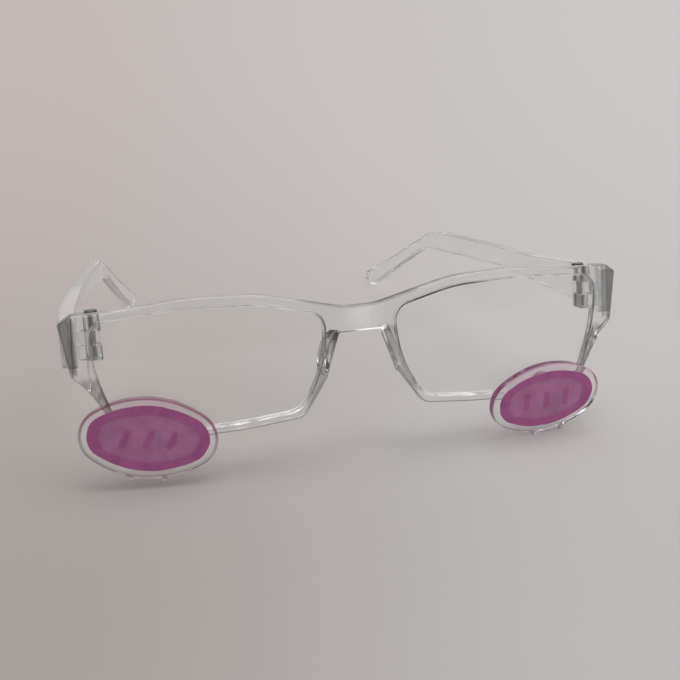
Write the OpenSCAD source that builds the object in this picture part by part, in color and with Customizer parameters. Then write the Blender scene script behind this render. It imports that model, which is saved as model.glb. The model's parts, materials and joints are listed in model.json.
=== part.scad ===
// Clear rectangular novelty glasses with a printed oval cheek disc under each lens.
// Millimetres. Seen from the front, +X is the wearer's left, +Y runs back along the temples, +Z is up.
// The sub-parts are drawn with the front upright and are then set down on the floor plane Z = 0.

/* [Lens openings] */
// Width of one lens opening
lens_w = 54; // [44:0.5:60]
// Height of one lens opening
lens_h = 28.2; // [22:0.2:36]
// Gap between the two lens openings at its narrowest
bridge_w = 17.5; // [14:0.5:22]
// How far the upper inner corner lies below the top of the opening
brow_drop = 4.2; // [2:0.1:7]
// How far the upper outer corner lies below the top of the opening
outer_drop = 1.6; // [0.5:0.1:4]
// How far the lower outer corner lies in from the widest point
outer_lean = 5.6; // [3:0.1:9]
// How far the lower inner corner lies out from the narrowest point
nose_lean = 6.9; // [4:0.1:10]
// Distance of the brow's bend from the inner edge of the opening
brow_in = 15.2; // [12:0.2:20]
// How far the brow's bend lies below the top of the opening
brow_fall = 0.4; // [0.1:0.1:1.2]
// Distance of the highest point of the opening from its outer edge
crown_in = 18.8; // [14:0.2:22]
// Height above the lens centre line at which the outer side turns in
cheek_up = 1; // [-2:0.1:4]
// How far the outer side has turned in at that height
cheek_in = 0.4; // [0.1:0.1:1]
// Distance of the lowest point of the opening from its inner edge
belly_in = 25.2; // [20:0.2:28]
// How far the lower outer corner lies above the bottom of the opening
outer_lift = 1.2; // [0.6:0.1:2.5]
// How far the lower inner corner lies above the bottom of the opening
nose_lift = 1.9; // [0.8:0.1:3]
// Depth below the lens centre line at which the nose side turns out
nose_down = 2.5; // [0:0.1:4]
// How far the nose side has turned out at that depth
nose_out = 0.8; // [0.2:0.1:1.5]
// Radius of the upper corners of the opening
corner_r = 4; // [2:0.5:7]
// Radius of the lower corners of the opening
lower_r = 5.5; // [3:0.5:8]

/* [Front] */
// Radius of the gentle wrap of the front
wrap_r = 500; // [300:10:900]
// Depth of the rims from front to back
rim_d = 3.2; // [2.8:0.1:4.5]
// Height of the upper rim
rim_top = 2.7; // [2:0.1:4]
// Height of the lower rim
rim_bottom = 1.8; // [1.2:0.1:3]
// Width of the outer rim at half height
rim_side = 2.5; // [2:0.1:4]
// Width of the rim beside the nose
rim_nose = 2.4; // [1.8:0.1:3.5]
// How far the top of the bridge lies above the upper inner corners of the openings
bridge_rise = 1.8; // [-0.9:0.1:4.1]
// Height of the bridge
bridge_h = 6.3; // [4.7:0.1:8.7]
// Half width of the flat underside of the bridge
arch_half_w = 5.3; // [4:0.1:6.5]
// Half width of the level top of the bridge
saddle_half_w = 4.5; // [3:0.1:6]
// Depth of the groove that holds a lens
groove_d = 0.6; // [0.4:0.1:1]

/* [Endpieces] */
// How far an endpiece reaches out beyond the lens opening
end_w = 6.85; // [5.5:0.05:10]
// How far the top of an endpiece lies above the top of the lens opening
end_rise = 0.7; // [-0.5:0.1:2.9]
// Height of an endpiece, from its top to its lower corner
end_h = 14.1; // [10.8:0.1:14.8]
// How far the outer side of an endpiece starts below its top
end_step = 1.9; // [0.5:0.1:3]
// How far the outer side of an endpiece leans in towards its lower corner
end_lean = 1.9; // [0:0.1:2]
// Drop of the slanted edge under an endpiece
end_drop = 2.6; // [1:0.1:4]
// Depth of an endpiece behind the front face at the side of the frame
end_d = 4.2; // [3.8:0.1:6]
// Width of the slanted strip down the outer side of an endpiece
end_bevel_w = 3; // [1.5:0.1:4]
// Depth of that slanted strip
end_bevel_d = 1.4; // [0.5:0.1:2]

/* [Nose pads] */
// Length of a moulded nose pad down the side of the nose
pad_len = 12.5; // [9:0.5:15]
// How far a pad stands out behind the rim
pad_d = 3.2; // [2:0.1:4]
// Thickness of a nose pad
pad_t = 2; // [1.4:0.1:2.4]
// Height of a pad's middle below the lens centre line
pad_drop = -0.6; // [-1.5:0.1:3]
// How far a pad's middle lies in from the side of the lens opening
pad_in = 1.2; // [0:0.1:1.5]
// Angle at which the pads lean apart towards their lower ends
pad_lean = 19; // [14:1:24]
// Angle at which the pads open towards the back
pad_flare = 16; // [10:1:35]

/* [Lenses] */
// Thickness of a lens
lens_t = 1.6; // [1.2:0.1:2]
// Clearance between a lens and its groove
lens_fit = 0.05; // [0.03:0.01:0.15]

/* [Temples] */
// Reach of a temple behind the endpiece, to the end of the tail
temple_reach = 129.4; // [110:0.1:145]
// Distance from the endpiece back to the top of the bend
bend_at = 90; // [75:0.5:105]
// Thickness of a temple at the hinge
temple_t = 4; // [3:0.1:5]
// How far a temple's outer side lies in from the side of the front
temple_inset = 0.3; // [0:0.1:0.8]
// Angle by which the two sides of a temple close towards the tail
temple_taper = 0.65; // [0:0.05:0.8]
// Radius of the inward bow of a temple
bow_r = 400; // [300:10:900]
// Inward angle of a temple at the hinge
bow_start = 2; // [0:0.5:5]
// How far a temple's top edge at the hinge lies below the top of the endpiece
temple_down = 1.5; // [0:0.1:2.8]
// Height of a temple at the hinge
temple_h = 11.3; // [8.3:0.1:11.4]
// How far the top of the bend lies above a temple's top edge at the hinge
bend_rise = 4.3; // [0.7:0.1:6.7]
// Radius of the bend
bend_r = 14; // [8:1:20]
// Distance behind the endpiece at which the top edge has its first rise
rise_at = 5; // [3:0.5:10]
// Height of that rise
rise = 0.6; // [0:0.1:1.2]
// Distance behind the endpiece of the waist in the top edge
waist_at = 36; // [25:1:45]
// How far the waist lies below the rise
waist_drop = 0.2; // [0:0.1:1]
// Distance behind the endpiece at which the lower edge levels out
level_at = 52; // [45:1:60]
// Depth of the temple's lower edge there below the top of the bend
level_drop = 8.3; // [7:0.1:10]
// Height of the temple's bar just before the bend
bar_h = 5.1; // [4:0.1:7]
// Height of the bar of the tail
tail_h = 5.2; // [4:0.1:7]
// Angle at which the tail runs down
tail_angle = 23.6; // [10:0.2:26]
// Radius of the rounded corners at the end of the tail
tail_r = 1.9; // [0.5:0.1:2]
// Angle by which the end of the tail is cut back from square
tip_slant = 18; // [0:1:25]

/* [Hinges] */
// Distance of a hinge axis in from the side of the front
hinge_in = 8; // [7.6:0.1:9]
// Radius of the hinge knuckles
knuckle_r = 1.7; // [1.5:0.1:2]
// How far the top of the upper knuckle lies below the top of the endpiece
hinge_down = 0.7; // [0.2:0.1:1.7]
// Height of the front's knuckles
lug_h = 3.4; // [2.5:0.1:3.6]
// Height of the temple's knuckle
tongue_h = 3.1; // [2.5:0.1:3.6]
// Running gap between neighbouring knuckles, and between endpiece and temple
hinge_gap = 0.1; // [0.05:0.01:0.2]
// Gap between the front's knuckles and the inner side of a temple
lug_side_gap = 0.3; // [0.2:0.05:0.6]
// Height of the screw's tip above the underside of the lowest knuckle
screw_tip = 0.2; // [0:0.1:0.8]
// Radius of the screw's shank
screw_r = 0.7; // [0.5:0.05:0.9]
// Radius of the screw's head
head_r = 1.5; // [1.2:0.1:1.7]
// Height of the screw's head
head_h = 0.9; // [0.6:0.1:1.2]
// Clearance of the shank in the knuckles
screw_fit = 0.05; // [0.02:0.01:0.08]

/* [Cheek discs] */
// Length of the left disc
left_disc_l = 30; // [26:0.1:36]
// Height of the left disc
left_disc_h = 18.2; // [16:0.1:24]
// Length of the right disc
right_disc_l = 31.8; // [26:0.1:36]
// Height of the right disc
right_disc_h = 18.9; // [16:0.1:24]
// Thickness of a disc
disc_t = 2; // [1.5:0.1:3]
// Radius of the rounded ends of a disc
disc_end_r = 6.6; // [5:0.1:7.5]
// How far the left disc's centre lies in from the outer edge of the lens opening
left_disc_in = 16.25; // [8:0.05:20]
// How far the left disc's centre lies below the lower edge of the lens opening
left_disc_down = 2; // [-1:0.1:4]
// Turn of the left disc in its own plane, outer end up
left_disc_turn = 4; // [0:0.5:14]
// Lean of the left disc, top edge back
left_disc_lean = -11; // [-12:0.5:3]
// How far the right disc's centre lies in from the outer edge of the lens opening
right_disc_in = 11.05; // [8:0.05:20]
// How far the right disc's centre lies below the lower edge of the lens opening
right_disc_down = 0.2; // [-1:0.1:4]
// Turn of the right disc in its own plane, outer end up
right_disc_turn = 8.5; // [0:0.5:14]
// Lean of the right disc, top edge back
right_disc_lean = 3; // [-12:0.5:3]
// Thickness of the clear glue between rim and disc
glue_t = 0.8; // [0.7:0.1:1.5]
// Radius of the glue dab
glue_r = 3.6; // [2:0.1:5]
// Height of the left glue dab above the lower edge of the lens opening
left_glue_up = 0.6; // [0:0.1:2]
// Height of the right glue dab above the lower edge of the lens opening
right_glue_up = 1; // [0:0.1:2]
// Distance of one cut tab from the middle of the disc's lower edge, towards the wearer's right
tab_near = 3.1; // [1:0.1:5]
// Distance of the other cut tab from the middle, towards the wearer's left
tab_far = 4.3; // [1:0.1:5]
// Width of a cut tab on a disc's lower edge
tab_w = 1; // [0.6:0.1:1.5]
// How far a cut tab stands out
tab_h = 0.35; // [0.2:0.05:0.6]
// Width of the clear border round the print
border_w = 1.85; // [1:0.05:3]
// Width of the print's dark ring above and below
ring_w = 2.15; // [1.5:0.05:3]
// Width of the print's dark ring at its two ends
ring_end_w = 2.75; // [1.5:0.05:4]
// Thickness of one printed layer
ink_t = 0.08; // [0.04:0.01:0.2]
// Length of a dash in the print
dash_l = 4.4; // [3:0.1:5]
// Width of a dash
dash_w = 1.5; // [0.8:0.1:2]
// Spacing of the dashes
dash_pitch = 5.4; // [4:0.1:6]
// How far the row of dashes lies below the middle of a print
dash_down = 0.3; // [-0.5:0.1:0.8]
// Slant of the left print's dashes from upright
left_dash_slant = 8; // [0:1:35]
// Turn of the left print's row of dashes, outer end down
left_row_turn = 4; // [0:0.5:6]
// Slant of the right print's dashes from upright
right_dash_slant = 20; // [0:1:35]
// Number of dashes
dash_n = 3; // [1:1:3]

/* [Hidden] */
$fn = 96;
fine = 720;      // pieces round the two very large arcs
clear_plastic = [0.84, 0.86, 0.85, 0.5];
clear_lens = [0.90, 0.93, 0.93, 0.3];
clear_acrylic = [0.88, 0.84, 0.87, 0.5];
screw_steel = [0.38, 0.38, 0.39];
pink_field = [0.55, 0.36, 0.48];
pink_ring = [0.51, 0.28, 0.42];
steps = 8;       // straight pieces in each rounded corner
arc_steps = 16;  // straight pieces in each arc of an oval
over = 1;        // how far a cut runs past the face it opens
big = 400;       // larger than any piece

// Edges of a lens opening, on the wearer's left
inner_x = bridge_w / 2;
outer_x = inner_x + lens_w;
top_z = lens_h / 2;
low_z = -lens_h / 2;
bridge_top = top_z - brow_drop + bridge_rise;
bridge_under = bridge_top - bridge_h;
end_top = top_z + end_rise;
end_low = end_top - end_h;
// Each corner is [x, z, radius], or [x, z, 0, share] for a long blend that takes that share of the
// edge left free beside it
opening = blended([
    [inner_x, top_z - brow_drop, corner_r],
    [inner_x + brow_in, top_z - brow_fall, 0, 0.45],
    [outer_x - crown_in, top_z, 0, 0.32],
    [outer_x, top_z - outer_drop, corner_r],
    [outer_x - cheek_in, cheek_up, 0, 0.84],
    [outer_x - outer_lean, low_z + outer_lift, lower_r],
    [inner_x + belly_in, low_z, 0, 0.54],
    [inner_x + nose_lean, low_z + nose_lift, lower_r],
    [inner_x + nose_out, -nose_down, 0, 0.81]
]);
// Outer edge of the front on the wearer's left, from the bridge's top round to its underside
end_x = outer_x + end_w;
end_fillet = end_bevel_w / 4;
side_x = outer_x + rim_side - cheek_in;
front_edge = [
    [saddle_half_w, bridge_top, 3 * corner_r],
    [inner_x + brow_in, top_z - brow_fall + rim_top, 0, 0.6],
    [outer_x - crown_in - rim_top, top_z + rim_top, 0, 0.54],
    [outer_x - end_w, end_top + brow_fall, 0, 0.3],
    [end_x - end_bevel_w, end_top, end_fillet],
    [end_x, end_top - end_step, end_fillet],
    [end_x - end_lean, end_low, 1.5 * end_fillet],
    [side_x, end_low - end_drop, 1.5 * end_fillet],
    [side_x - outer_lean * 0.41, low_z + 1.6 * outer_lean, 0, 0.5],
    [outer_x - outer_lean, low_z + outer_lift - rim_bottom, lower_r + rim_bottom],
    [inner_x + belly_in, low_z - rim_bottom, 0, 0.48],
    [inner_x + nose_lean - nose_out, low_z + nose_lift - rim_bottom, lower_r - rim_bottom],
    [inner_x + 3.4 * nose_out - rim_nose, -2.2 * nose_down, 0, 0.78],
    [inner_x + 0.6 * nose_out - rim_nose, nose_out, 0, 0.3],
    [arch_half_w, bridge_under, end_fillet]
];

// Hinge, behind the endpiece
end_back = end_d + wrap_r - sqrt(wrap_r * wrap_r - end_x * end_x);
hinge_x = end_x - hinge_in;
hinge_y = end_back + hinge_gap + knuckle_r;
hinge_top = end_top - hinge_down;
top_lug_low = hinge_top - lug_h;
tongue_low = top_lug_low - hinge_gap - tongue_h;
hinge_low = tongue_low - hinge_gap - lug_h;
bore_r = screw_r + screw_fit;

sink = 0.3;      // how far one shape runs into the shape it is joined to

// Temple side view, each corner [distance behind the endpiece's back, height, radius]
temple_y = end_back + hinge_gap;
temple_x = end_x - temple_inset;
temple_in = temple_x - temple_t;
temple_top = end_top - temple_down;
temple_low = temple_top - temple_h;
bend_top = temple_top + bend_rise;
tail_drop = (temple_reach - bend_at) * tan(tail_angle);
tail_end = [temple_reach, bend_top - tail_drop];
tail_heel = tail_end + tail_h * [-sin(tail_angle + tip_slant), -cos(tail_angle + tip_slant)];
bend_under = [bend_at + bar_h, bend_top - 1.1 * bar_h];
temple_side = [
    [0, temple_top, hinge_gap * 5],
    [rise_at, temple_top + rise, bend_r],
    [waist_at, temple_top + rise - waist_drop, 10 * bend_r],
    [bend_at, bend_top, bend_r],
    [tail_end.x, tail_end.y, tail_r],
    [tail_heel.x, tail_heel.y, tail_r],
    [bend_under.x, bend_under.y, bend_r],
    [level_at, bend_top - level_drop, 9 * bend_r],
    [0, temple_low, hinge_gap * 8]
];

// Discs: distance of the wrap's front face behind the middle of the front at x
function wrap_y(x) = wrap_r - sqrt(wrap_r * wrap_r - x * x);
function wrap_turn(x) = asin(x / wrap_r);
left_disc_x = outer_x - left_disc_in;
left_disc_z = low_z - left_disc_down;
right_disc_x = outer_x - right_disc_in;
right_disc_z = low_z - right_disc_down;

// Foremost point of a disc's lower edge, on the tab nearer the nose, as [y, z]
function disc_low(x, z, turn, lean, tab_x, h) =
    let (tab = tab_x + tab_w / 2, drop = (h / 2 + tab_h) * cos(turn) + tab * sin(turn))
    [wrap_y(x) - glue_t - disc_t * cos(lean) - drop * sin(lean) - tab * cos(turn) * sin(wrap_turn(x)),
        z + disc_t * sin(lean) - drop * cos(lean)];
left_low = disc_low(left_disc_x, left_disc_z, left_disc_turn, left_disc_lean, tab_near, left_disc_h);
right_low = disc_low(right_disc_x, right_disc_z, right_disc_turn, right_disc_lean, tab_far, right_disc_h);
// Centre of the rounding at corner i of the temple's side view, as [y, z]
function round_mid(i) = let (b = at(temple_side, i), u = unit(at(temple_side, i - 1) - b),
    v = unit(at(temple_side, i + 1) - b))
    b + unit(u + v) * temple_side[i][2] / sin(half_angle(u, v)) + [temple_y, 0];
tip_mid = round_mid(4);
heel_mid = round_mid(5);

// Standing pose: the left disc's lower tab and the tails' heels meet the floor
to_heel = heel_mid - left_low;
rest_pitch = atan2(to_heel.y, to_heel.x) - asin(tail_r / norm(to_heel));
function stood_y(p) = p.x * cos(rest_pitch) + p.y * sin(rest_pitch);
function stood_z(p) = p.y * cos(rest_pitch) - p.x * sin(rest_pitch);
stand_y = -(stood_y(right_low) + stood_y(tip_mid) + tail_r) / 2;
stand_z = -stood_z(left_low);

module standing() {
    translate([0, stand_y, stand_z]) rotate([-rest_pitch, 0, 0]) children();
}

// Outline helpers: an outline is a list of [x, y, radius] corners
function unit(v) = v / norm(v);
function at(outline, i) = let (p = outline[(i + len(outline)) % len(outline)]) [p.x, p.y];
function half_angle(u, v) = acos(min(1, max(-1, u * v))) / 2;
function short_way(a) = a > 180 ? a - 360 : a < -180 ? a + 360 : a;
function corner(a, b, c, r) =
    let (u = unit(a - b), v = unit(c - b), half = half_angle(u, v),
        mid = b + unit(u + v) * r / sin(half),
        p = b + u * r / tan(half) - mid, q = b + v * r / tan(half) - mid,
        from = atan2(p.y, p.x), turn = short_way(atan2(q.y, q.x) - from))
    [for (i = [0:steps]) mid + r * [cos(from + turn * i / steps), sin(from + turn * i / steps)]];
function rounded(outline) = [for (i = [0:len(outline) - 1])
    each corner(at(outline, i - 1), at(outline, i), at(outline, i + 1), outline[i][2])];
// Half the angle at corner i, and the length of edge that its rounding takes
function half_at(o, i) = half_angle(unit(at(o, i - 1) - at(o, i)), unit(at(o, i + 1) - at(o, i)));
function taken(o, i) = o[i][2] / tan(half_at(o, i));
// Length of the edge from corner i to corner j that is free for a long blend at i
function free_edge(o, i, j) = let (k = (j + len(o)) % len(o), edge = norm(at(o, i) - at(o, k)))
    o[k][2] > 0 ? edge - taken(o, k) : edge / 2;
// The outline with a radius in place of each share
function blended(o) = [for (i = [0:len(o) - 1]) o[i][2] > 0 ? o[i]
    : [o[i].x, o[i].y, o[i][3] * min(free_edge(o, i, i - 1), free_edge(o, i, i + 1)) * tan(half_at(o, i))]];
// The same outline with every edge moved out by g, for an outline that bulges everywhere
function grown(outline, g) = [for (i = [0:len(outline) - 1])
    let (b = at(outline, i), u = unit(at(outline, i - 1) - b), v = unit(at(outline, i + 1) - b),
        p = b - unit(u + v) * g / sin(half_angle(u, v)))
    [p.x, p.y, outline[i][2] + g]];
function other_side(outline) = [for (i = [len(outline) - 1:-1:0])
    [-outline[i].x, outline[i].y, outline[i][2], outline[i][3]]];

// Extrudes an outline drawn in X and Z along Y, from y0 to y1
module through_y(y0, y1) {
    translate([0, y1, 0]) rotate([90, 0, 0]) linear_extrude(height = y1 - y0) children();
}

// Everything behind the wrap's face that lies d behind the front face
module behind_wrap(d) {
    translate([0, wrap_r, -big / 2]) cylinder(r = wrap_r - d, h = big, $fn = fine);
}

module wrapped_slab(d0, d1) {
    difference() {
        behind_wrap(d0);
        behind_wrap(d1);
    }
}

module lens_shape(grow) {
    polygon(rounded(grown(opening, grow)));
}

module both_sides() {
    children();
    mirror([1, 0, 0]) children();
}

// Solid front before the lens openings are cut
module front_blank() {
    edge = blended(concat(front_edge, other_side(front_edge)));
    intersection() {
        through_y(-over, end_back) polygon(rounded(edge));
        union() {
            wrapped_slab(0, rim_d);
            intersection() {
                behind_wrap(0);
                both_sides() translate([outer_x + 0.4, -over, -big / 2]) cube([big, end_back + over, big]);
            }
        }
    }
}

// Slanted strip down the outer side of an endpiece
module end_bevel() {
    angle = atan2(end_bevel_d, end_bevel_w);
    translate([end_x - end_bevel_w, wrap_y(end_x - end_bevel_w), -big / 2])
        rotate([0, 0, angle]) translate([0, -big, 0]) cube([big, big, big]);
}

// A rounded pad that leans along the side of the nose and opens towards the back
module nose_pad() {
    reach = rim_d / 2 + pad_d;
    edge_r = (pad_len * pad_len / 4 + reach * reach) / (2 * reach);
    translate([inner_x - pad_in, rim_d / 2, -pad_drop]) rotate([0, -pad_lean, 0]) rotate([0, 0, -pad_flare])
        rotate([90, 0, 90]) linear_extrude(height = pad_t, center = true) intersection() {
            translate([reach - edge_r, 0]) circle(r = edge_r);
            translate([0, -pad_len / 2]) square([pad_len, pad_len]);
        }
}

// One of the front's two knuckles, with its web to the endpiece
module front_lug(z) {
    web_x = hinge_x - knuckle_r;
    web_y = wrap_y(web_x) + rim_d - sink;
    translate([hinge_x, hinge_y, z]) cylinder(r = knuckle_r, h = lug_h);
    translate([web_x, web_y, z]) cube([temple_in - lug_side_gap - web_x, hinge_y - web_y, lug_h]);
}

module screw_bore() {
    translate([hinge_x, hinge_y, hinge_low - over]) cylinder(r = bore_r, h = hinge_top - hinge_low + 2 * over);
}

module front_frame() {
    color(clear_plastic) standing() difference() {
        union() {
            difference() {
                front_blank();
                both_sides() {
                    through_y(-over, end_back + over) lens_shape(0);
                    end_bevel();
                }
            }
            both_sides() {
                nose_pad();
                front_lug(hinge_low);
                front_lug(top_lug_low);
            }
        }
        both_sides() {
            intersection() {
                through_y(-over, end_back + over) lens_shape(groove_d);
                wrapped_slab((rim_d - lens_t) / 2 - lens_fit, (rim_d + lens_t) / 2 + lens_fit);
            }
            screw_bore();
        }
    }
}

module lens() {
    intersection() {
        through_y(-over, end_back + over) lens_shape(groove_d - lens_fit);
        wrapped_slab((rim_d - lens_t) / 2, (rim_d + lens_t) / 2);
    }
}

module left_lens() {
    color(clear_lens) standing() lens();
}

module right_lens() {
    color(clear_lens) standing() mirror([1, 0, 0]) lens();
}

// Plan of a temple: the space between two long arcs that close towards the tail
module temple_plan() {
    inner_start = bow_start - temple_taper;
    difference() {
        translate([temple_x - bow_r * cos(bow_start), temple_y - bow_r * sin(bow_start), -big / 2])
            cylinder(r = bow_r, h = big, $fn = fine);
        translate([temple_x - temple_t - bow_r * cos(inner_start), temple_y - bow_r * sin(inner_start), -big / 2])
            cylinder(r = bow_r, h = big, $fn = fine);
    }
}

// Temple's knuckle, with its web to the temple's inner side
module tongue() {
    half = knuckle_r - 0.3;
    web_end = temple_x - temple_t / 2;
    translate([hinge_x, hinge_y, tongue_low]) {
        cylinder(r = knuckle_r, h = tongue_h);
        translate([0, -half, 0]) cube([web_end - hinge_x, 2 * half, tongue_h]);
    }
}

module temple() {
    difference() {
        union() {
            intersection() {
                temple_plan();
                translate([0, temple_y, 0]) rotate([90, 0, 90]) linear_extrude(height = big)
                    polygon(rounded(temple_side));
            }
            tongue();
        }
        screw_bore();
    }
}

module left_temple() {
    color(clear_plastic) standing() temple();
}

module right_temple() {
    color(clear_plastic) standing() mirror([1, 0, 0]) temple();
}

// Slotted screw that enters from above
module hinge_screw() {
    slot_w = 0.4;
    slot_d = 0.4;
    translate([hinge_x, hinge_y, 0]) difference() {
        union() {
            translate([0, 0, hinge_low + screw_tip]) cylinder(r = screw_r, h = hinge_top - hinge_low - screw_tip);
            translate([0, 0, hinge_top]) cylinder(r = head_r, h = head_h);
        }
        translate([-head_r - over, -slot_w / 2, hinge_top + head_h - slot_d])
            cube([2 * (head_r + over), slot_w, slot_d + over]);
    }
}

module left_hinge_screw() {
    color(screw_steel) standing() hinge_screw();
}

module right_hinge_screw() {
    color(screw_steel) standing() mirror([1, 0, 0]) hinge_screw();
}

// Oval of four arcs, in a disc of length l and height h, inset at its ends and sides
function arc(mid, r, from, to) = [for (i = [0:arc_steps - 1])
    mid + r * [cos(from + (to - from) * i / arc_steps), sin(from + (to - from) * i / arc_steps)]];
function oval_points(l, h, end_in, side_in) =
    let (a = l / 2 - end_in, b = h / 2 - side_in, r = disc_end_r * b / (h / 2),
        long_r = ((a - r) * (a - r) + b * b - r * r) / (2 * (b - r)), split = atan2(long_r - b, a - r))
    concat(arc([a - r, 0], r, -split, split), arc([0, b - long_r], long_r, split, 180 - split),
        arc([r - a, 0], r, 180 - split, 180 + split), arc([0, long_r - b], long_r, 180 + split, 360 - split));

module oval(l, h, end_in, side_in) {
    polygon(oval_points(l, h, end_in, side_in));
}

// Puts a shape drawn in X and Z on a disc: y = 0 is the disc's back face
module on_disc(x, z, turn, lean) {
    translate([x, wrap_y(x) - glue_t, z])
        rotate([0, 0, wrap_turn(x)]) rotate([-lean, 0, 0]) rotate([0, -turn, 0]) children();
}

module on_left_disc() {
    on_disc(left_disc_x, left_disc_z, left_disc_turn, left_disc_lean) children();
}

module on_right_disc() {
    on_disc(-right_disc_x, right_disc_z, -right_disc_turn, right_disc_lean) children();
}

// Clear oval with the two small cut tabs left on its lower edge
module disc_blank(l, h) {
    through_y(-disc_t, 0) union() {
        oval(l, h, 0, 0);
        for (x = [-tab_near, tab_far])
            translate([x - tab_w / 2, -h / 2 - tab_h]) square([tab_w, tab_h + 2 * sink]);
    }
}

module print_oval(l, h) {
    through_y(-disc_t - ink_t, -disc_t) oval(l, h, border_w, border_w);
}

module print_ring(l, h) {
    through_y(-disc_t - 2 * ink_t, -disc_t - ink_t) difference() {
        oval(l, h, border_w, border_w);
        oval(l, h, border_w + ring_end_w, border_w + ring_w);
    }
}

module dash() {
    straight = dash_l - dash_w;
    square([dash_w, straight], center = true);
    for (end = [-1, 1]) translate([0, end * straight / 2]) circle(r = dash_w / 2);
}

module print_dashes(slant, row_turn) {
    through_y(-disc_t - 2 * ink_t, -disc_t - ink_t) for (i = [0:dash_n - 1])
        let (along = (i - (dash_n - 1) / 2) * dash_pitch)
            translate([along, -dash_down - along * sin(row_turn)]) rotate(-slant) dash();
}

// Glue fills the space from a disc's back face to the front face of the rim
module glue_dab() {
    through_y(0, 4 * glue_t) circle(r = glue_r);
}

// Everything behind the flat that touches the front's face at x
module behind_front(x) {
    translate([x, wrap_y(x), 0]) rotate([0, 0, wrap_turn(x)]) translate([-big / 2, 0, -big / 2]) cube(big);
}

module left_cheek_disc() {
    color(clear_acrylic) standing() on_left_disc() disc_blank(left_disc_l, left_disc_h);
}

module right_cheek_disc() {
    color(clear_acrylic) standing() on_right_disc() disc_blank(right_disc_l, right_disc_h);
}

module left_print_oval() {
    color(pink_field) standing() on_left_disc() print_oval(left_disc_l, left_disc_h);
}

module right_print_oval() {
    color(pink_field) standing() on_right_disc() print_oval(right_disc_l, right_disc_h);
}

module left_print_ring() {
    color(pink_ring) standing() on_left_disc() print_ring(left_disc_l, left_disc_h);
}

module right_print_ring() {
    color(pink_ring) standing() on_right_disc() print_ring(right_disc_l, right_disc_h);
}

module left_print_dashes() {
    color(pink_ring) standing() on_left_disc() print_dashes(left_dash_slant, left_row_turn);
}

module right_print_dashes() {
    color(pink_ring) standing() on_right_disc() print_dashes(right_dash_slant, 0);
}

module left_glue_dab() {
    color(clear_acrylic) standing() difference() {
        on_left_disc() translate([0, 0, left_disc_down + left_glue_up]) glue_dab();
        behind_front(left_disc_x);
    }
}

module right_glue_dab() {
    color(clear_acrylic) standing() difference() {
        on_right_disc() translate([0, 0, right_disc_down + right_glue_up]) glue_dab();
        behind_front(-right_disc_x);
    }
}

front_frame();
left_lens();
right_lens();
left_temple();
right_temple();
left_hinge_screw();
right_hinge_screw();
left_cheek_disc();
right_cheek_disc();
left_print_oval();
right_print_oval();
left_print_ring();
right_print_ring();
left_print_dashes();
right_print_dashes();
left_glue_dab();
right_glue_dab();
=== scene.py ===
import json
import math

import bpy
from mathutils import Matrix, Vector

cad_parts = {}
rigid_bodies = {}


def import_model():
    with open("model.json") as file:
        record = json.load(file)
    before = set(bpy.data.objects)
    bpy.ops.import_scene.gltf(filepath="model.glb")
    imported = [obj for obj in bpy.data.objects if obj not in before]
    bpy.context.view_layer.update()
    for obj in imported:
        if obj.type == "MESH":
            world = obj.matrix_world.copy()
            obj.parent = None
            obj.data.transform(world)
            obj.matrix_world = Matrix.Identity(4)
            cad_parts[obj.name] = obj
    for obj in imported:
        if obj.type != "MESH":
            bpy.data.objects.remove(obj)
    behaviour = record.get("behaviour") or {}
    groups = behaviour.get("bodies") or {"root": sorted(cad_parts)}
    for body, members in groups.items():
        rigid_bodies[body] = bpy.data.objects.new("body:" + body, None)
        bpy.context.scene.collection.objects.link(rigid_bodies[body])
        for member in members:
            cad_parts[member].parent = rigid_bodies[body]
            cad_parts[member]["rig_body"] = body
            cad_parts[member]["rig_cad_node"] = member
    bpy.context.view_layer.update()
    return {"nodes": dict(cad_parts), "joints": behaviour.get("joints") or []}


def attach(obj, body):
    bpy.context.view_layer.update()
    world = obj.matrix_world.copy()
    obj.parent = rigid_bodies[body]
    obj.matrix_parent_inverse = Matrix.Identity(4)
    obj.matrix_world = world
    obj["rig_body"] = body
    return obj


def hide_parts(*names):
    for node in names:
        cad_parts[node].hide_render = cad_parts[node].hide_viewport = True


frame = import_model()
print("frame loaded:", len(frame["nodes"]), "nodes")

mm = 0.001

# The front is drawn upright and set down leaning; the hinge axis says by how much
hinge = {j["name"]: j for j in frame["joints"]}["left_fold"]
hingeAxis = Vector(hinge["axis"])
tilt = Matrix.Rotation(-math.atan2(hingeAxis.y, hingeAxis.z), 4, "X")
hingeUpright = Vector((61.6, 10.868, 9.05)) * mm
uprightToFloor = Matrix.Translation(Vector(hinge["pos_m"]) - tilt @ hingeUpright) @ tilt
floorToUpright = uprightToFloor.inverted()
uprightTurn = floorToUpright.to_3x3()      # its rows are the front's own x, y and z as they lie in the room

# Mesh helpers
meshing = {
    "samePoint": 2e-6,     # m
    "flatWithin": 0.6,     # faces bent less than this become one, degrees
    "sharpFrom": 30,       # edges bent this much can be rounded
    "smoothUpTo": 38,
    "normalWeight": 90,
}


def only(piece):
    bpy.ops.object.select_all(action="DESELECT")
    piece.select_set(True)
    bpy.context.view_layer.objects.active = piece


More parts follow.
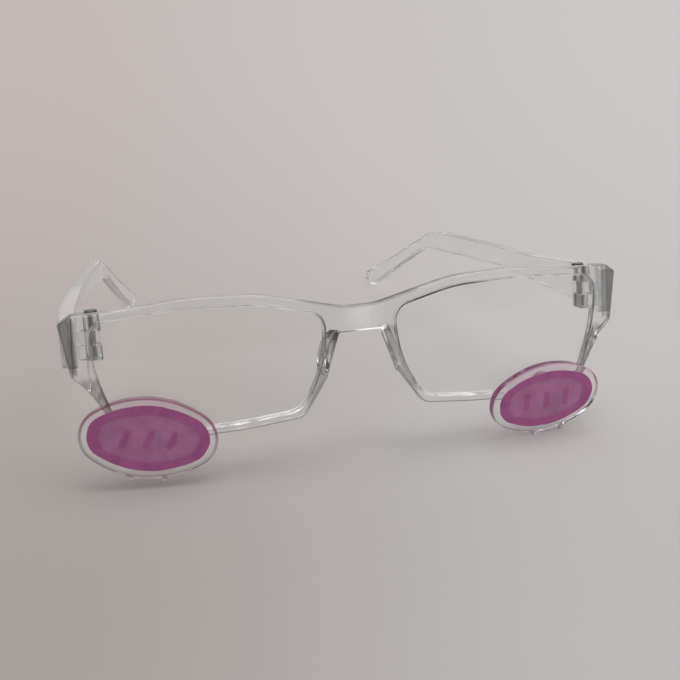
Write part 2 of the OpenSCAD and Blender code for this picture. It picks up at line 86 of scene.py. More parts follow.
# A node's mesh as a piece of its own; slivers is how near its points lie, in m, where shapes were joined
def copyOfNode(node, name, slivers=0):
    only(frame["nodes"][node])
    bpy.ops.object.duplicate()
    piece = bpy.context.object
    piece.name = name
    piece.data.name = name
    piece.parent = None
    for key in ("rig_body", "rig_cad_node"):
        if key in piece:
            del piece[key]
    bpy.ops.object.mode_set(mode="EDIT")
    bpy.ops.mesh.select_all(action="SELECT")
    bpy.ops.mesh.remove_doubles(threshold=meshing["samePoint"])
    bpy.ops.mesh.dissolve_limited(angle_limit=math.radians(meshing["flatWithin"]))
    if slivers:
        bpy.ops.mesh.select_all(action="SELECT")
        bpy.ops.mesh.remove_doubles(threshold=slivers)
        bpy.ops.mesh.dissolve_degenerate(threshold=slivers / 2)
    bpy.ops.object.mode_set(mode="OBJECT")
    return piece


def facesBeside(mesh):
    beside = {}
    for face in mesh.polygons:
        for key in face.edge_keys:
            beside.setdefault(key, []).append(face)
    return beside


# Whether two faces meet in an outer edge, not in an inner corner
def edgeBulges(mesh, edge, a, b):
    corners = list(a.vertices)
    start, end = edge.vertices
    if corners[(corners.index(start) + 1) % len(corners)] != end:
        start, end = end, start
    return b.normal.dot(a.normal.cross(mesh.vertices[end].co - mesh.vertices[start].co)) < 0


# Rounds the sharp edges; widthAt gets an edge's middle and the normals beside it, upright, in millimetres
def softenEdges(piece, widthAt, widest, segments, clamp=False):
    mesh = piece.data
    weights = mesh.attributes.new("bevel_weight_edge", "FLOAT", "EDGE")
    beside = facesBeside(mesh)
    for edge in mesh.edges:
        faces = beside.get(edge.key, [])
        if len(faces) != 2:
            continue
        a, b = faces
        if a.normal.angle(b.normal) < math.radians(meshing["sharpFrom"]):
            continue
        middle = (mesh.vertices[edge.vertices[0]].co + mesh.vertices[edge.vertices[1]].co) / 2
        width = widthAt(floorToUpright @ middle / mm, uprightTurn @ a.normal, uprightTurn @ b.normal,
                        edgeBulges(mesh, edge, a, b))
        weights.data[edge.index].value = width / widest
    only(piece)
    bevel = piece.modifiers.new("edges", "BEVEL")
    bevel.width = widest * mm
    bevel.segments = segments
    bevel.limit_method = "WEIGHT"
    bevel.use_clamp_overlap = clamp
    bevel.miter_outer = "MITER_ARC"
    bpy.ops.object.modifier_apply(modifier="edges")


def smooth(piece):
    only(piece)
    bpy.ops.object.shade_smooth_by_angle(angle=math.radians(meshing["smoothUpTo"]))
    weighted = piece.modifiers.new("normals", "WEIGHTED_NORMAL")
    weighted.keep_sharp = True
    weighted.weight = meshing["normalWeight"]
    bpy.ops.object.modifier_apply(modifier="normals")


def finishPiece(piece, material, body, slot, *nodes):
    piece.data.materials.clear()
    piece.data.materials.append(material)
    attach(piece, body)
    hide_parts(*nodes)


# Shader maths: a Signal is one socket, and sums of Signals make their own Math nodes
class Signal:
    def __init__(self, tree, socket=None):
        self.tree = tree
        self.socket = socket

    def node(self, kind, settings=None, sockets=None, out=0):
        made = self.tree.nodes.new(kind)
        for key, value in (settings or {}).items():
            setattr(made, key, value)
        for key, value in (sockets or {}).items():
            if isinstance(value, Signal):
                self.tree.links.new(value.socket, made.inputs[key])
            elif made.inputs[key].type == "RGBA":
                made.inputs[key].default_value = (*value[:3], 1)
            else:
                made.inputs[key].default_value = value
        return Signal(self.tree, made.outputs[out] if made.outputs else None)

    # Another output of the same node
    def of(self, out):
        return Signal(self.tree, self.socket.node.outputs[out])

    def math(self, operation, a, b=0.0):
        return self.node("ShaderNodeMath", {"operation": operation}, {0: a, 1: b})

    def __add__(self, other):
        return self.math("ADD", self, other)

    def __radd__(self, other):
        return self.math("ADD", other, self)

    def __sub__(self, other):
        return self.math("SUBTRACT", self, other)

    def __rsub__(self, other):
        return self.math("SUBTRACT", other, self)

    def __mul__(self, other):
        return self.math("MULTIPLY", self, other)

    def __rmul__(self, other):
        return self.math("MULTIPLY", other, self)

    def __truediv__(self, other):
        return self.math("DIVIDE", self, other)

    def __rtruediv__(self, other):
        return self.math("DIVIDE", other, self)

    def __pow__(self, other):
        return self.math("POWER", self, other)

    def abs(self):
        return self.math("ABSOLUTE", self)

    def least(self, other):
        return self.math("MINIMUM", self, other)

    def most(self, other):
        return self.math("MAXIMUM", self, other)

    # 0 at the first value, 1 at the second, smooth between them; the first may be the larger
    def rise(self, start, full):
        return self.node("ShaderNodeMapRange", {"interpolation_type": "SMOOTHSTEP"},
                         {"Value": self, "From Min": start, "From Max": full})

    # 1 between the two middle values, 0 outside the outer two
    def between(self, start, full, last, end):
        return self.rise(start, full) * self.rise(end, last)

    # From 0 to 1, squeezed to run from the given value to 1
    def atLeast(self, least):
        return least + (1 - least) * self

    def along(self, direction):
        return self.node("ShaderNodeVectorMath", {"operation": "DOT_PRODUCT"}, {0: self, 1: tuple(direction)}, "Value")

    def flattened(self, z):
        return self.node("ShaderNodeVectorMath", {"operation": "MULTIPLY"}, {0: self, 1: (1.0, 1.0, z)})

    def noise(self, scale, detail=2.0):
        return self.node("ShaderNodeTexNoise", None, {"Vector": self, "Scale": scale, "Detail": detail})

    def bump(self, strength, depth):
        return self.node("ShaderNodeBump", None, {"Strength": strength, "Distance": depth, "Height": self})


def newMaterial(name):
    material = bpy.data.materials.new(name)
    material.use_nodes = True
    material.node_tree.nodes.clear()
    base = Signal(material.node_tree)
    return material, base, base.node("ShaderNodeTexCoord", out="Object")


def endMaterial(base, surface):
    base.node("ShaderNodeOutputMaterial", None, {"Surface": surface})


def mixColours(base, share, a, b):
    return base.node("ShaderNodeMix", {"data_type": "RGBA"}, {0: share, 6: a, 7: b}, 2)


# A colour as it reads on the screen, 0 to 255
def fromScreen(r, g, b):
    return tuple(((c / 255 + 0.055) / 1.055) ** 2.4 if c > 10 else c / 255 / 12.92 for c in (r, g, b))


# Moulded or sheet plastic that is seen through
plastic = {
    "ior": 1.49,
    "swirl": 150.0, "swirlDepth": 0.0002,      # slow waves in the surface
    "fine": 2600.0, "glossFrom": 0.6, "glossBy": 0.8,      # fine changes of gloss, as shares of the roughness
    "wall": (0.03, 0.26),                      # how far a surface turns from the front's plane before it is a wall
    "upPaler": 0.6,                            # walls that face up take less of the painted edge shade
}


# tint, paintedEdgeShade and paintedHighlight are functions that give a colour which varies over the piece. The front's
# tint also carries painted shade, and the discs' tint painted shade and a painted reflection of the print
def clearPlastic(name, look, tint=None, paintedEdgeShade=None, paintedHighlight=None):
    material, base, place = newMaterial(name)
    colour = tint(base, place) if tint else look["tint"]
    if paintedEdgeShade:        # painted shade: the rounded edges and side walls are painted darker, standing in for light that bends away there
        normal = place.of("Normal")
        facingUp = normal.along((0, 0, 1)).most(0.0)
        wall = (1 - normal.along(uprightTurn.row[1]).abs()).rise(*plastic["wall"]) * (1 - plastic["upPaler"] * facingUp)
        colour = mixColours(base, wall, colour, paintedEdgeShade(base, place))
    gloss = plastic["glossFrom"] + plastic["glossBy"] * place.noise(plastic["fine"], 3.0)
    sockets = {
        "Base Color": colour, "Roughness": look["roughness"] * gloss,
        "IOR": plastic["ior"], "Transmission Weight": 1 - look["haze"],
        "Normal": place.noise(plastic["swirl"]).bump(look["waviness"], plastic["swirlDepth"]),
    }
    if paintedHighlight:            # painted highlight: an emission colour on the edges, standing in for light that the plastic catches there
        sockets.update({"Emission Color": paintedHighlight(base, place), "Emission Strength": 1.0})
    shell = base.node("ShaderNodeBsdfPrincipled", None, sockets)
    see = base.node("ShaderNodeBsdfTransparent", None, {"Color": (look["shadow"],) * 3})
    shadowRay = base.node("ShaderNodeLightPath", out="Is Shadow Ray")
    endMaterial(base, base.node("ShaderNodeMixShader", None, {0: shadowRay, 1: shell, 2: see}))
    return material


# Front: one clear moulding with rims, bridge, pads, endpieces and hinge knuckles. Sizes in mm, seen upright
front = {
    "slivers": 4e-5,
    "frontEdge": 0.7,      # rounding of the outer edge, front side
    "backEdge": 0.5,
    "bridgeBack": 0.2,
    "openingEdge": 0.6,
    "openingBack": 0.15,
    "padEdge": 0.75, "padEdgeLeast": 0.05,
    "endEdge": 0.5,        # on the endpieces' backs
    "lugEdge": 0.2,        # on the hinge knuckles
    "wrap": 500.0,         # radius of the front's wrap
    "rimDepth": 3.2,
    "padMiddle": (7.55, 1.6, 0.6), "padAxis": (0.326, 0, 0.946), "padHalf": 6.4, "padsWithin": 15,
    "lensMiddle": 35.5, "openingsWithin": 64, "rimsWithin": 63.1,
    "bridgeHalf": (12, 8),                     # out and up
    "lugsFrom": 9.1, "lugsWithin": 66,         # back and out
    "foldAt": 66,                              # from here out the endpiece slants back
    "faceDepth": 0.4, "slantDepth": 1.2,       # the face's edges lie no deeper than this, on the rims and on the ends
    "backReach": 0.3, "padBehind": 0.15,       # from the rims' back: its edges lie this near, and the pads' further on
    "wallsAhead": 1.0,     # nearer the front than this, the wall at an edge is the face that looks ahead least
    "facing": 0.75,        # a face whose normal has this much of a direction faces it
    "tint": (0.955, 0.96, 0.955),
    # painted shade on the rounded edges and walls
    "paintedEdgeShade": (0.33, 0.33, 0.325),
    "paintedNoseShade": (0.52, 0.52, 0.51),            # painted shade beside the nose
    "paintedOuterRimShade": (0.40, 0.365, 0.365),         # painted shade down the outer rims
    "paintedStripShade": (0.44, 0.44, 0.44),           # painted shade on the slanted ends
    "paintedTopShade": (0.16, 0.16, 0.155),            # painted shade on top of the bridge, and on the fold of the endpieces
    "paintedLineShade": (0.012, 0.012, 0.0115),        # the darkest painted shade lines
    # colour of the painted highlights, given off as emission
    "paintedHighlight": (0.7, 0.7, 0.7),
    "roughness": 0.05, "waviness": 0.2, "haze": 0.07, "shadow": 0.8,
}


# Widths change only where edges meet at a real corner, so that neighbouring roundings join
def frontEdgeWidth(p, n1, n2, bulges):
    if not bulges:
        return 0
    depth = front["wrap"] - math.hypot(p.x, front["wrap"] - p.y)
    out = abs(p.x)
    toSide = math.copysign(1, p.x)
    if out < front["padsWithin"] and depth > front["rimDepth"] + front["padBehind"]:     # thins out at a pad's two ends
        middle, axis = (Vector((toSide * x, y, z)) for x, y, z in (front["padMiddle"], front["padAxis"]))
        along = (p - middle).dot(axis)
        return max(front["padEdgeLeast"], front["padEdge"] * (1 - (along / front["padHalf"]) ** 2))
    aheadMost, other = (n1, n2) if n1.y < n2.y else (n2, n1)
    backMost, beside = (n1, n2) if n1.y > n2.y else (n2, n1)
    wall = other if depth < front["wallsAhead"] else beside
    toMiddle = Vector((front["lensMiddle"] - out, -p.z)).dot(Vector((toSide * wall.x, wall.z))) > 0
    atFront = depth < (front["faceDepth"] if out < front["foldAt"] else front["slantDepth"])
    if atFront and aheadMost.y < -front["facing"]:
        return front["openingEdge"] if toMiddle and out < front["openingsWithin"] else front["frontEdge"]
    atBack = abs(depth - front["rimDepth"]) < front["backReach"]
    if out < front["rimsWithin"] and atBack and backMost.y > front["facing"]:
        if toMiddle:
            return front["openingBack"]
        bridgeOut, bridgeUp = front["bridgeHalf"]
        return front["backEdge"] if out > bridgeOut or abs(p.z) > bridgeUp else front["bridgeBack"]
    if p.y > front["lugsFrom"] and out < front["lugsWithin"]:
        return front["lugEdge"]
    return front["endEdge"] if out > front["rimsWithin"] else 0


# Where the painted shade and the painted highlights on the front lie, mm: out to either side, up, or to the left from
# its middle. Turn is how much of a direction the surface's normal has: left, up or down. Two numbers are where a band
# starts and where it is full, and two more where it is last full and where it ends
bands = {
    "noseOut": (4.5, 6.0, 12.5, 14.5), "noseUp": (-14.0, -10.0, 5.3, 6.3),
    "outerOut": (56.0, 57.5, 64.5, 66.0), "outerUp": (0.5, -1.5),
    "stripOut": (66.2, 67.0), "foldOut": (65.9, 66.3, 66.7, 67.1), "stripUp": (0.6, 1.6),
    "bridgeTopOut": (17.0, 12.0), "bridgeTopUp": (2.0, 4.0), "bridgeTopTurn": (0.25, 0.6),
    "topLineLeft": (8.4, 9.2, 26.0, 36.0), "topLineUp": (-3.0, 2.0),
    "topLineTurn": (0.08, 0.25), "topLineEdgeTurn": (0.2, 0.6),
    "noseSideOut": (14.5, 16.0, 28.0, 36.0), "noseSideTurn": (0.25, 0.6),
    "undersideUp": (-8.0, -10.0), "undersideTurn": (0.35, 0.8),
    "bridgeLineOut": (9.0, 8.0), "bridgeLineLeft": (0.5, -2.5), "bridgeLineTurn": (0.1, 0.5),
    "upperUp": (1.0, 3.0), "glowOut": (63.5, 61.5),
    "bridgeGlowOut": (7.6, 6.2), "bridgeGlowLeft": (-3.0, 1.0), "bridgeGlowTurn": (0.15, 0.5),
    "rimGlowOut": (9.0, 12.0), "noGlowLeft": (8.0, 10.0, 26.0, 36.0), "lowGlowUp": (-6.0, -8.0),
    "rimGlowTurn": (0.3, 0.75),
    "foldShare": 0.8, "topRimShare": 0.45, "lowRimShare": 0.4,
}


# Where a place on the front is, mm to the left and up, and how far its surface faces left and up
def seenUpright(place):
    origin = floorToUpright.translation
    left = (place.along(uprightTurn.row[0]) + origin.x) * 1000
    up = (place.along(uprightTurn.row[2]) + origin.z) * 1000
    normal = place.of("Normal")
    return left, up, normal.along(uprightTurn.row[0]), normal.along(uprightTurn.row[2])


def patches(base, across, up, scale, low, high):
    return base.node("ShaderNodeCombineXYZ", None, {"X": across, "Y": up}).noise(scale).rise(low, high)


# Painted shade: the dark line over the left opening and down its nose side, on surfaces that face into the opening
def topLine(left, up, facingLeft, facingUp, turn):
    facingIn = (0 - facingUp).most(facingLeft).rise(*turn)
    return facingIn * up.rise(*bands["topLineUp"]) * left.between(*bands["topLineLeft"])


# The front's own tint with painted shade: grey streaks beside the nose, down the outer rims and on the slanted ends,
# dark lines over the left opening, and a darker top of the bridge and fold of the endpieces
def frontTintAndPaintedShade(base, place):
    left, up, facingLeft, facingUp = seenUpright(place)
    out = left.abs()
    paintedShadeStreaks = patches(base, out + up * 0.3, up * 0.12, scale=1.5, low=0.35, high=0.65)
    noseBand = out.between(*bands["noseOut"]) * up.between(*bands["noseUp"])
    outerBand = out.between(*bands["outerOut"]) * up.rise(*bands["outerUp"])
    strip = out.rise(*bands["stripOut"]) * up.rise(*bands["stripUp"])
    foldLine = out.between(*bands["foldOut"]) * up.rise(*bands["stripUp"])
    onBridgeTop = out.rise(*bands["bridgeTopOut"]) * up.rise(*bands["bridgeTopUp"])
    bridgeTop = facingUp.rise(*bands["bridgeTopTurn"]) * onBridgeTop
    line = topLine(left, up, facingLeft, facingUp, bands["topLineTurn"])
    colour = mixColours(base, line, front["tint"], front["paintedLineShade"])
    colour = mixColours(base, bridgeTop.most(foldLine * bands["foldShare"]), colour, front["paintedTopShade"])
    colour = mixColours(base, noseBand * paintedShadeStreaks.atLeast(0.35), colour, front["paintedNoseShade"])
    colour = mixColours(base, strip * paintedShadeStreaks.atLeast(0.7), colour, front["paintedStripShade"])
    return mixColours(base, outerBand * paintedShadeStreaks.atLeast(0.45), colour, front["paintedOuterRimShade"])


# Painted shade on the rounded edges and walls, darkest in lines: over the left opening, on the openings' nose sides,
# under the lower rims and half the bridge
def frontPaintedEdgeShade(base, place):
    left, up, facingLeft, facingUp = seenUpright(place)
    out = left.abs()
    facingDown = 0 - facingUp
    noseSide = facingLeft.abs().rise(*bands["noseSideTurn"]) * out.between(*bands["noseSideOut"])
    underside = facingDown.rise(*bands["undersideTurn"]) * up.rise(*bands["undersideUp"])
    line = topLine(left, up, facingLeft, facingUp, bands["topLineEdgeTurn"])
    underBridge = facingDown.rise(*bands["bridgeLineTurn"]) * up.rise(*bands["upperUp"])
    bridgeLine = underBridge * out.rise(*bands["bridgeLineOut"]) * left.rise(*bands["bridgeLineLeft"])
    lines = noseSide.most(underside).most(line).most(bridgeLine)
    return mixColours(base, lines, front["paintedEdgeShade"], front["paintedLineShade"])


# Painted highlights, bright lines: under the bridge's other half and the top rims, and along the upper edges of the
# lower rims
def frontPaintedHighlights(base, place):
    left, up, facingLeft, facingUp = seenUpright(place)
    out = left.abs()
    facingDown = 0 - facingUp
    broken = patches(base, left * 0.35, up * 0.35, scale=1.0, low=0.38, high=0.62)
    upper = up.rise(*bands["upperUp"]) * out.rise(*bands["glowOut"])
    halfBridge = out.rise(*bands["bridgeGlowOut"]) * left.rise(*bands["bridgeGlowLeft"])
    onBridge = upper * facingDown.rise(*bands["bridgeGlowTurn"]) * halfBridge
    allTop = upper * facingDown.rise(*bands["rimGlowTurn"]) * out.rise(*bands["rimGlowOut"])
    onTopRim = allTop * (1 - left.between(*bands["noGlowLeft"]))
    onLowRim = facingUp.rise(*bands["rimGlowTurn"]) * up.rise(*bands["lowGlowUp"])
    onRims = onTopRim * bands["topRimShare"] + onLowRim * bands["lowRimShare"]
    share = onBridge + onRims * broken.atLeast(0.25)
    return mixColours(base, share.least(1.0), (0.0, 0.0, 0.0), front["paintedHighlight"])


frontPlastic = clearPlastic("frontPlastic", front, frontTintAndPaintedShade, frontPaintedEdgeShade, frontPaintedHighlights)
moulding = copyOfNode("front_frame", "front_moulding", front["slivers"])
softenEdges(moulding, frontEdgeWidth, front["frontEdge"], segments=4)
smooth(moulding)
finishPiece(moulding, frontPlastic, "front", "clear_front", "front_frame")
print("front:", len(moulding.data.polygons), "faces")

# Lenses
lens = {"edge": 0.12, "tint": (0.985, 0.99, 0.985), "roughness": 0.012, "waviness": 0.05, "haze": 0.0, "shadow": 0.94}
lensPlastic = clearPlastic("lensPlastic", lens)
for side in ("left", "right"):
    pane = copyOfNode(side + "_lens", side + "_lens_pane")
    softenEdges(pane, lambda p, n1, n2, bulges: lens["edge"], lens["edge"], segments=2)
    smooth(pane)
    finishPiece(pane, lensPlastic, "front", "clear_lens", side + "_lens")
print("lenses done")

# Temples
temple = {
    "slivers": 2e-5,
    "edge": 0.4,
    "knuckleEdge": 0.15, "knuckleWithin": 65, "knuckleUpTo": 14.5,      # out and back
    "tint": (0.965, 0.968, 0.965), "roughness": 0.14, "waviness": 0.25, "haze": 0.14, "shadow": 0.8,
}
templePlastic = clearPlastic("templePlastic", temple)


def templeEdgeWidth(p, n1, n2, bulges):
    if not bulges:
        return 0
    onKnuckle = abs(p.x) < temple["knuckleWithin"] and p.y < temple["knuckleUpTo"]
    return temple["knuckleEdge"] if onKnuckle else temple["edge"]


for side in ("left", "right"):
    arm = copyOfNode(side + "_temple", side + "_arm", temple["slivers"])
    softenEdges(arm, templeEdgeWidth, temple["edge"], segments=4)
    smooth(arm)
    finishPiece(arm, templePlastic, side + "_temple", "clear_temple", side + "_temple")
print("temples done")

# Hinge screws
screw = {
    "edge": 0.12, "headFrom": 12.4,
    "dark": (0.045, 0.045, 0.05), "light": (0.14, 0.14, 0.145), "metallic": 0.85,
    "roughness": 0.28, "wearRoughness": 0.3, "wear": 1800.0, "grain": 5200.0, "grainDepth": 0.00005,
}


def screwSteel():
    material, base, place = newMaterial("screwSteel")
    wear = place.noise(screw["wear"], 3.0)
    endMaterial(base, base.node("ShaderNodeBsdfPrincipled", None, {
        "Base Color": mixColours(base, wear.rise(0.35, 0.65), screw["dark"], screw["light"]),
        "Metallic": screw["metallic"], "Roughness": screw["roughness"] + screw["wearRoughness"] * wear,
        "Normal": place.noise(screw["grain"]).bump(0.25, screw["grainDepth"])}))
    return material


def screwEdgeWidth(p, n1, n2, bulges):
    return screw["edge"] if bulges and p.z > screw["headFrom"] else 0


steel = screwSteel()
for side in ("left", "right"):
    pin = copyOfNode(side + "_hinge_screw", side + "_screw")
    softenEdges(pin, screwEdgeWidth, screw["edge"], segments=2)
    smooth(pin)
    finishPiece(pin, steel, "front", "screw_steel", side + "_hinge_screw")
print("screws done")

# Cheek discs with their prints; sizes in mm, and how each is turned in degrees
discSizes = {
    "left": {"x": 46.5, "z": -16.1, "turn": 4.0, "lean": -11.0, "length": 30.0, "height": 18.2,
             "dashSlant": 8.0, "rowTurn": 4.0},
    "right": {"x": -51.7, "z": -14.3, "turn": -8.5, "lean": 3.0, "length": 31.8, "height": 18.9,
              "dashSlant": 20.0, "rowTurn": 0.0},
}
disc = {
    "glueThick": 0.8, "endRound": 6.6, "edge": 0.35,
    # The pinker colour toward the top of the border is a painted reflection of the print; on the cut edge the lower
    # colour is painted shade and the upper one a painted reflection of the print, lighter on the left disc than on the
    # right
    "tint": (0.965, 0.955, 0.96), "borderPaintedReflection": (0.93, 0.83, 0.89), "tintRise": (0.0, 9.0),
    "discEdgePaintedShade": (0.66, 0.62, 0.64), "discEdgePaintedReflection": {"left": (0.86, 0.50, 0.70), "right": (0.45, 0.20, 0.33)},
    "edgeRise": (-4.0, 5.0), "edgeWide": {"left": 0.5, "right": 0.75},
    "roughness": 0.035, "waviness": 0.12, "haze": 0.05, "shadow": 0.85,
}
printing = {
    "border": 1.85, "ringWide": 2.15, "ringEnds": 2.75,
    "dashLength": 4.4, "dashWide": 1.5, "dashPitch": 5.4, "dashDown": 0.3,
    "blur": 0.36,          # half width over which two inks run into each other
    "wobble": 0.22, "wobbleAlong": 900.0, "wobbleUp": 760.0,       # unevenness of the borders between the inks
    "cloud": 330.0, "speck": 5200.0, "speckRoughness": 0.2, "speckDepth": 0.00003,
    "sink": 0.03,          # the print's back lies this far inside the plastic
    "wander": 0.09,        # unevenness of the print's outer edge
    "outerEdge": 1.2,      # how far in from the print's ends that is felt
    "fieldLight": fromScreen(172, 110, 152), "fieldDark": fromScreen(156, 100, 136),
    "ringLight": fromScreen(166, 86, 139), "ringDark": fromScreen(150, 74, 125),
    "paintedLightLift": {"left": 1.2, "right": 1.06},      # painted light: scales each print's colours, the left one painted lighter than the right as light falls on them
    "roughness": 0.38,
}


# A disc's own flat frame: x along it, z up it, y into it
def discFrame(side):
    size = discSizes[side]
    wrapTurn = Matrix.Rotation(math.asin(size["x"] / front["wrap"]), 4, "Z")
    wrapY = front["wrap"] - math.sqrt(front["wrap"] ** 2 - size["x"] ** 2)
    lean = Matrix.Rotation(math.radians(-size["lean"]), 4, "X")
    turn = Matrix.Rotation(math.radians(-size["turn"]), 4, "Y")
    place = Matrix.Translation(Vector((size["x"], wrapY - disc["glueThick"], size["z"])) * mm)
    return uprightToFloor @ place @ (wrapTurn @ lean @ turn)


# Where a place is on the disc, mm along it and up it from its middle
def onDisc(side, place):
    flat = discFrame(side)
    axes = flat.to_3x3()
    return tuple((place.along(axis) - axis.dot(flat.translation)) * 1000 for axis in (axes.col[0], axes.col[2]))


# How far a place lies inside the disc's oval of four arcs, or inside a smaller one, mm
def ovalInside(base, u, v, size, endIn=0.0, sideIn=0.0):
    a = size["length"] / 2 - endIn
    b = size["height"] / 2 - sideIn
    r = disc["endRound"] * b / (size["height"] / 2)
    longR = ((a - r) ** 2 + b * b - r * r) / (2 * (b - r))
    acrossX = u.abs()
    acrossY = v.abs()
    endX = acrossX - (a - r)
    atEnd = (endX * endX + acrossY * acrossY) ** 0.5
    longY = acrossY + (longR - b)
    atLong = (acrossX * acrossX + longY * longY) ** 0.5
    inEnd = base.math("GREATER_THAN", endX * ((longR - b) / (a - r)), acrossY)
    return inEnd * (r - atEnd) + (1 - inEnd) * (longR - atLong)


# How dark the print is at a place: 1 on the ring and the dashes, 0 on the field
def printMask(base, u, v, size):
    inside = ovalInside(base, u, v, size, printing["border"] + printing["ringEnds"],
                        printing["border"] + printing["ringWide"])
    blur = printing["blur"]
    dark = inside.rise(blur, -blur)
    slant = math.radians(-size["dashSlant"])
    half = (printing["dashLength"] - printing["dashWide"]) / 2
    for i in (-1, 0, 1):
        along = i * printing["dashPitch"]
        du = u - along
        dv = v + (printing["dashDown"] + along * math.sin(math.radians(size["rowTurn"])))
        across = du * math.cos(slant) + dv * math.sin(slant)
        length = dv * math.cos(slant) - du * math.sin(slant)
        past = (length.abs() - half).most(0.0)
        away = (across * across + past * past) ** 0.5 - printing["dashWide"] / 2
        dark = dark.most(away.rise(blur, -blur))
    return dark


def printInk(side, name):
    material, base, place = newMaterial(name)
    u, v = onDisc(side, place)
    u = u + (place.noise(printing["wobbleAlong"]) - 0.5) * printing["wobble"]
    v = v + (place.noise(printing["wobbleUp"]) - 0.5) * printing["wobble"]
    cloud = place.noise(printing["cloud"], 3.0).rise(0.3, 0.7)
    speck = place.noise(printing["speck"])
    lifted = {key: tuple(c * printing["paintedLightLift"][side] for c in printing[key])
              for key in ("fieldLight", "fieldDark", "ringLight", "ringDark")}
    field = mixColours(base, cloud, lifted["fieldLight"], lifted["fieldDark"])
    ring = mixColours(base, cloud, lifted["ringLight"], lifted["ringDark"])
    endMaterial(base, base.node("ShaderNodeBsdfPrincipled", None, {
        "Base Color": mixColours(base, printMask(base, u, v, discSizes[side]), field, ring),
        "Roughness": printing["roughness"] + printing["speckRoughness"] * speck,
        "Normal": speck.bump(0.2, printing["speckDepth"])}))
    return material


# The border of a disc is painted with a reflection of the print's colour, most of all toward its upper edge, and its
# cut edge with painted shade below and a painted reflection of the print above
def discTintAndPaintedReflection(side):
    def tint(base, place):
        u, v = onDisc(side, place)
        wide = disc["edgeWide"][side]
        rim = ovalInside(base, u, v, discSizes[side]).rise(wide + 0.1, wide - 0.25)
        face = mixColours(base, v.rise(*disc["tintRise"]), disc["tint"], disc["borderPaintedReflection"])
        edge = mixColours(base, v.rise(*disc["edgeRise"]), disc["discEdgePaintedShade"], disc["discEdgePaintedReflection"][side])
        return mixColours(base, rim, face, edge)
    return tint


# Lets the print's outer edge wander a little, as screen printing does
def wanderEdge(piece, side):
    flat = discFrame(side)
    toFlat = flat.inverted()
    size = discSizes[side]
    stretch = size["length"] / size["height"]
    reach = size["length"] / 2 - printing["border"] - printing["outerEdge"]
    for vertex in piece.data.vertices:
        local = toFlat @ vertex.co / mm
        around = math.atan2(local.z * stretch, local.x)
        if math.hypot(local.x, local.z * stretch) > reach:     # three sets of waves run round the edge
            waves = 0.5 * math.sin(9 * around + 1.3) + 0.3 * math.sin(17 * around + size["lean"])
            shift = printing["wander"] * (waves + 0.2 * math.sin(31 * around) - 1)
            local.x += shift * math.cos(around)
            local.z += shift * math.sin(around)
        local.y += printing["sink"]
        vertex.co = flat @ (local * mm)


def discEdgeWidth(p, n1, n2, bulges):
    return disc["edge"] if bulges else 0


for side in ("left", "right"):
    plate = copyOfNode(side + "_cheek_disc", side + "_disc_plate")
    softenEdges(plate, discEdgeWidth, disc["edge"], segments=3, clamp=True)
    smooth(plate)
    acrylic = clearPlastic(side + "DiscAcrylic", disc, discTintAndPaintedReflection(side))
    finishPiece(plate, acrylic, "front", "clear_disc", side + "_cheek_disc")
    inks = printInk(side, side + "PrintInk")
    for part, slot in (("oval", "print_field"), ("ring", "print_dark"), ("dashes", "print_dark")):
        layer = copyOfNode(side + "_print_" + part, side + "_ink_" + part)
        wanderEdge(layer, side)
        smooth(layer)
        finishPiece(layer, inks, "front", slot, side + "_print_" + part)
print("discs and prints done")

# Glue
glue = {"tint": (0.95, 0.945, 0.94), "roughness": 0.16, "waviness": 0.6, "haze": 0.12, "shadow": 0.85}
gluePlastic = clearPlastic("setGlue", glue)
for side in ("left", "right"):
    dab = copyOfNode(side + "_glue_dab", side + "_glue")
    smooth(dab)
    finishPiece(dab, gluePlastic, "front", "clear_glue", side + "_glue_dab")
print("glue done")

# Camera, placed in the upright frame: degrees, mm, and the focal length in pixels of a picture 680 wide
view = {
    "azimuth": -14.55131848, "elevation": 10.59098628, "roll": -3.46374367,
    "distance": 271.07097811, "aim": (-5.40003292, 0, 3.75510213),
    "focal": 1150.26015, "picture": 680, "sensor": 36, "nearest": 0.01,
}
azimuth, elevation, roll = (math.radians(view[k]) for k in ("azimuth", "elevation", "roll"))
back = Vector((math.sin(azimuth) * math.cos(elevation), -math.cos(azimuth) * math.cos(elevation), math.sin(elevation)))
eye = Vector(view["aim"]) * mm + view["distance"] * mm * back
right = (-back).cross(Vector((0, 0, 1))).normalized()
up = right.cross(-back)
rolledRight = math.cos(roll) * right + math.sin(roll) * up
rolledUp = -math.sin(roll) * right + math.cos(roll) * up
turned = Matrix((rolledRight, rolledUp, back)).transposed().to_4x4()
bpy.ops.object.camera_add()
camera = bpy.context.object
camera.matrix_world = uprightToFloor @ Matrix.Translation(eye) @ turned
camera.data.sensor_width = view["sensor"]
camera.data.lens = view["focal"] / view["picture"] * view["sensor"]
camera.data.clip_start = view["nearest"]
bpy.context.scene.camera = camera

# Floor: pale, with painted shade: a little darker before the glasses and on the right lens's side. Its colours fan out
# from one spot; nearLeft to farRight name them as one stands there, facing the glasses
stage = {
    "wide": 8.0, "middle": (0, 2.2, -0.00002),
    "fanFrom": (-0.07234558, -0.31017706, 0), "fanAlong": (0.25124705, 0.96792299, 0),
    "fanEdges": (-0.31, 0.32),     # sideways, as a share of the distance from the spot
    "evenNear": (0.02, 0.19),      # close to the spot left and right are alike, m
    "nearUpTo": 0.19,              # from here on the far colours come in
    "nearLeft": fromScreen(168, 162, 159), "nearRight": fromScreen(191, 188, 187),
    "farLeft": fromScreen(196, 187, 185), "farRight": fromScreen(206, 204, 203),
    "roughness": 0.95, "grain": 700.0, "grainDepth": 0.0002,
}
bpy.ops.mesh.primitive_plane_add(size=stage["wide"], location=stage["middle"])
floor = bpy.context.object
floor.name = "studio_floor"
bpy.ops.object.transform_apply(location=True, rotation=True, scale=True)
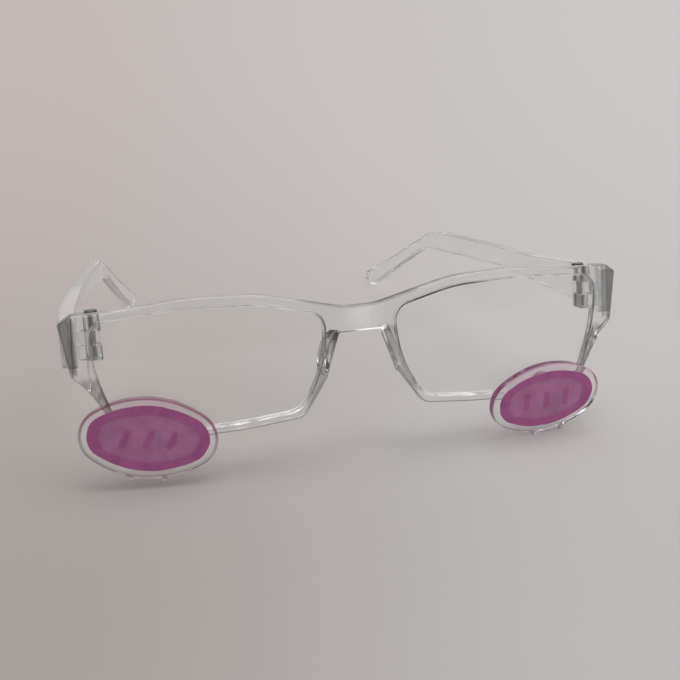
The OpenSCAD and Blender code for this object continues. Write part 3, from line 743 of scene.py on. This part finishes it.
floorPaper, base, place = newMaterial("floorPaper")
fanFrom = Vector(stage["fanFrom"])
fanAlong = Vector(stage["fanAlong"])
fanAcross = Vector((fanAlong.y, -fanAlong.x, 0))
ahead = place.along(fanAlong) - fanAlong.dot(fanFrom)
aside = place.along(fanAcross) - fanAcross.dot(fanFrom)
distance = (ahead * ahead + aside * aside) ** 0.5
toRight = 0.5 + ((aside / distance).rise(*stage["fanEdges"]) - 0.5) * distance.rise(*stage["evenNear"])
toFar = (stage["nearUpTo"] / distance).rise(1.0, 0.1)
near = mixColours(base, toRight, stage["nearLeft"], stage["nearRight"])
far = mixColours(base, toRight, stage["farLeft"], stage["farRight"])
endMaterial(base, base.node("ShaderNodeBsdfPrincipled", None, {
    "Base Color": mixColours(base, toFar, near, far), "Roughness": stage["roughness"], "Specular IOR Level": 0.0,
    "Normal": place.noise(stage["grain"]).bump(0.05, stage["grainDepth"])}))
floor.data.materials.append(floorPaper)

# One broad soft light from above; clear and polished pieces don't show it
lights = {"sky": 1.35, "skyAngle": 50, "skyDown": (-0.25, -0.1, -1)}
bpy.ops.object.light_add(type="SUN", location=(0.3, 0.2, 2))
sky = bpy.context.object
sky.name = "sky_light"
sky.data.energy = lights["sky"]
sky.data.angle = math.radians(lights["skyAngle"])
sky.visible_glossy = False
sky.visible_transmission = False
sky.rotation_euler = Vector(lights["skyDown"]).to_track_quat("-Z", "Y").to_euler()

# Room: matt surfaces are lit evenly, and what is polished or clear shows walls, panes and a bright ceiling.
# Height is the share of a direction that goes up; noise gives the walls dark and pale parts, and the panes
roomLook = {
    "even": fromScreen(198, 196, 195),
    "wallDark": fromScreen(34, 33, 34), "wallPale": fromScreen(196, 194, 193),
    "wallNoise": 2.9, "wallFlat": 0.5, "wallParts": (0.5, 0.58),
    "behind": fromScreen(196, 192, 190), "behindAhead": (0.45, 0.75), "behindHeight": (0.34, 0.24),
    "skirting": fromScreen(178, 173, 171), "skirtingHeight": (0.22, 0.04),     # the floor runs on to the walls
    "panes": (2.2, 2.2, 2.25), "paneNoise": 5.1, "paneFlat": 0.6, "paneParts": (0.62, 0.66),
    "ceiling": (1.3, 1.3, 1.3), "ceilingMirrored": (4.0, 4.0, 4.0), "ceilingHeight": (0.7, 0.86),
}
world = bpy.data.worlds.new("room")
bpy.context.scene.world = world
world.use_nodes = True
world.node_tree.nodes.clear()
room = Signal(world.node_tree)
direction = room.node("ShaderNodeTexCoord", out="Generated")
height = direction.along((0, 0, 1))
overhead = height.rise(*roomLook["ceilingHeight"])
walls = direction.flattened(roomLook["wallFlat"]).noise(roomLook["wallNoise"], 1.0).rise(*roomLook["wallParts"])
behind = direction.along((0, 1, 0)).rise(*roomLook["behindAhead"]) * height.rise(*roomLook["behindHeight"])
panes = direction.flattened(roomLook["paneFlat"]).noise(roomLook["paneNoise"], 0.0).rise(*roomLook["paneParts"])
seen = mixColours(room, walls, roomLook["wallDark"], roomLook["wallPale"])
seen = mixColours(room, behind, seen, roomLook["behind"])
seen = mixColours(room, height.rise(*roomLook["skirtingHeight"]), seen, roomLook["skirting"])
seen = mixColours(room, panes * (1 - behind), seen, roomLook["panes"])
seen = mixColours(room, overhead, seen, roomLook["ceiling"])
path = room.node("ShaderNodeLightPath")
glossy = path.of("Is Glossy Ray")
light = mixColours(room, glossy.most(path.of("Is Transmission Ray")), roomLook["even"], seen)
light = mixColours(room, glossy * overhead, light, roomLook["ceilingMirrored"])
background = room.node("ShaderNodeBackground", None, {"Color": light, "Strength": 1.0})
room.node("ShaderNodeOutputWorld", None, {"Surface": background})
bpy.context.scene.view_settings.view_transform = "Standard"
print("stage, camera and lights set")
